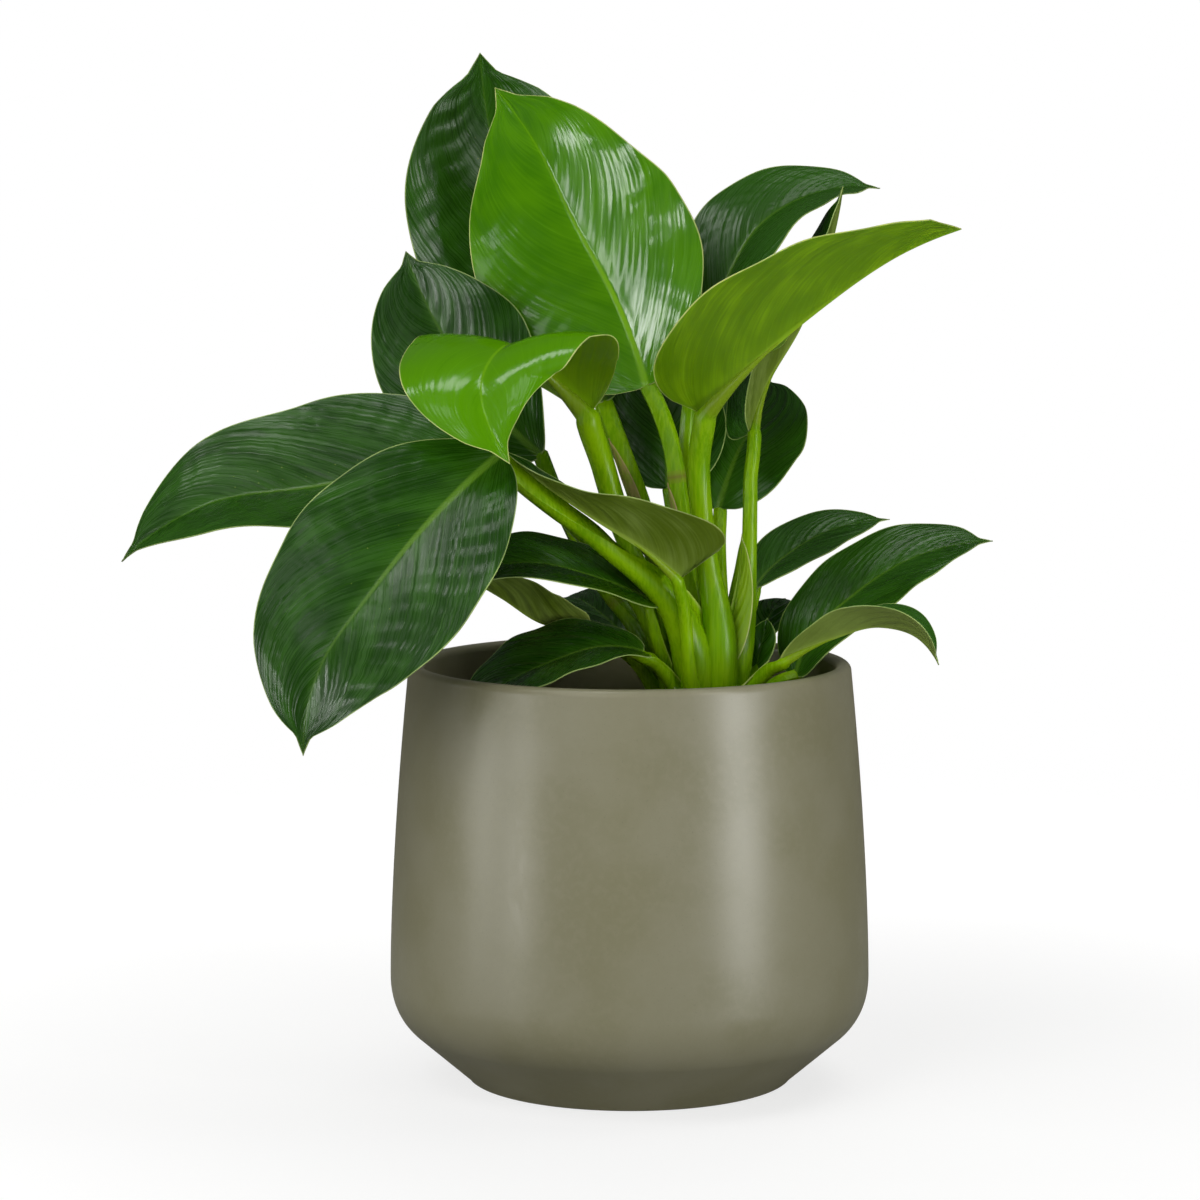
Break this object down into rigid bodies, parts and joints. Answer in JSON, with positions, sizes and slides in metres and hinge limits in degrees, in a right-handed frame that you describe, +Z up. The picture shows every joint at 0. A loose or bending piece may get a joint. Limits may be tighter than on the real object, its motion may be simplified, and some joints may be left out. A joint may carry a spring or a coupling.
{
  "type": "potted philodendron",
  "caption": "Bushy self-heading philodendron with broad glossy leaves, growing in a matte olive-grey ceramic pot that stands on its flat foot.",
  "frame": {"origin": "centre of the pot's flat foot, on the surface it stands on", "axes": "+Z up, -Y towards the front of the plant, +X to its right"},
  "size_m": [0.3094, 0.17, 0.3631],
  "materials": {
    "pot_ceramic": "matte",
    "potting_soil": "matte",
    "crown": "satin",
    "leaf_young": "satin",
    "leaf_mature": "satin",
    "stalk": "satin",
    "sheath": "matte"
  },
  "bodies": {
    "root": {"pot": "pot_ceramic", "soil": "potting_soil", "crown_stem": "crown", "leaf_top_front": "leaf_young", "leaf_top_back": "leaf_mature", "leaf_left_back": "leaf_mature", "leaf_left_arching": "leaf_young", "leaf_far_left": "leaf_mature", "leaf_left_front": "leaf_mature", "leaf_left_middle": "leaf_mature", "leaf_left_small": "leaf_mature", "leaf_rim_left": "leaf_mature", "leaf_centre_folded": "leaf_mature", "leaf_right_front": "leaf_young", "leaf_right_back": "leaf_mature", "leaf_right_narrow": "leaf_mature", "leaf_right_round": "leaf_mature", "leaf_centre_back": "leaf_mature", "leaf_right_low_back": "leaf_mature", "leaf_right_low": "leaf_mature", "leaf_rim_right": "leaf_mature", "leaf_rim_front": "leaf_mature", "leaf_back_low": "leaf_mature", "leaf_right_small": "leaf_mature", "leaf_right_tiny": "leaf_mature", "stalk_top_front": "stalk", "stalk_top_back": "stalk", "stalk_left_back": "stalk", "stalk_left_arching": "stalk", "stalk_far_left": "stalk", "stalk_left_front": "stalk", "stalk_left_middle": "stalk", "stalk_left_small": "stalk", "stalk_rim_left": "stalk", "stalk_centre_folded": "stalk", "stalk_right_front": "stalk", "stalk_right_back": "stalk", "stalk_right_narrow": "stalk", "stalk_right_round": "stalk", "stalk_centre_back": "stalk", "stalk_right_low_back": "stalk", "stalk_right_low": "stalk", "stalk_rim_right": "stalk", "stalk_rim_front": "stalk", "stalk_back_low": "stalk", "stalk_right_small": "stalk", "stalk_right_tiny": "stalk", "sheath_top_front": "sheath", "sheath_top_back": "sheath", "sheath_right_narrow": "sheath", "sheath_rim_right": "sheath"}
  },
  "joints": []
}
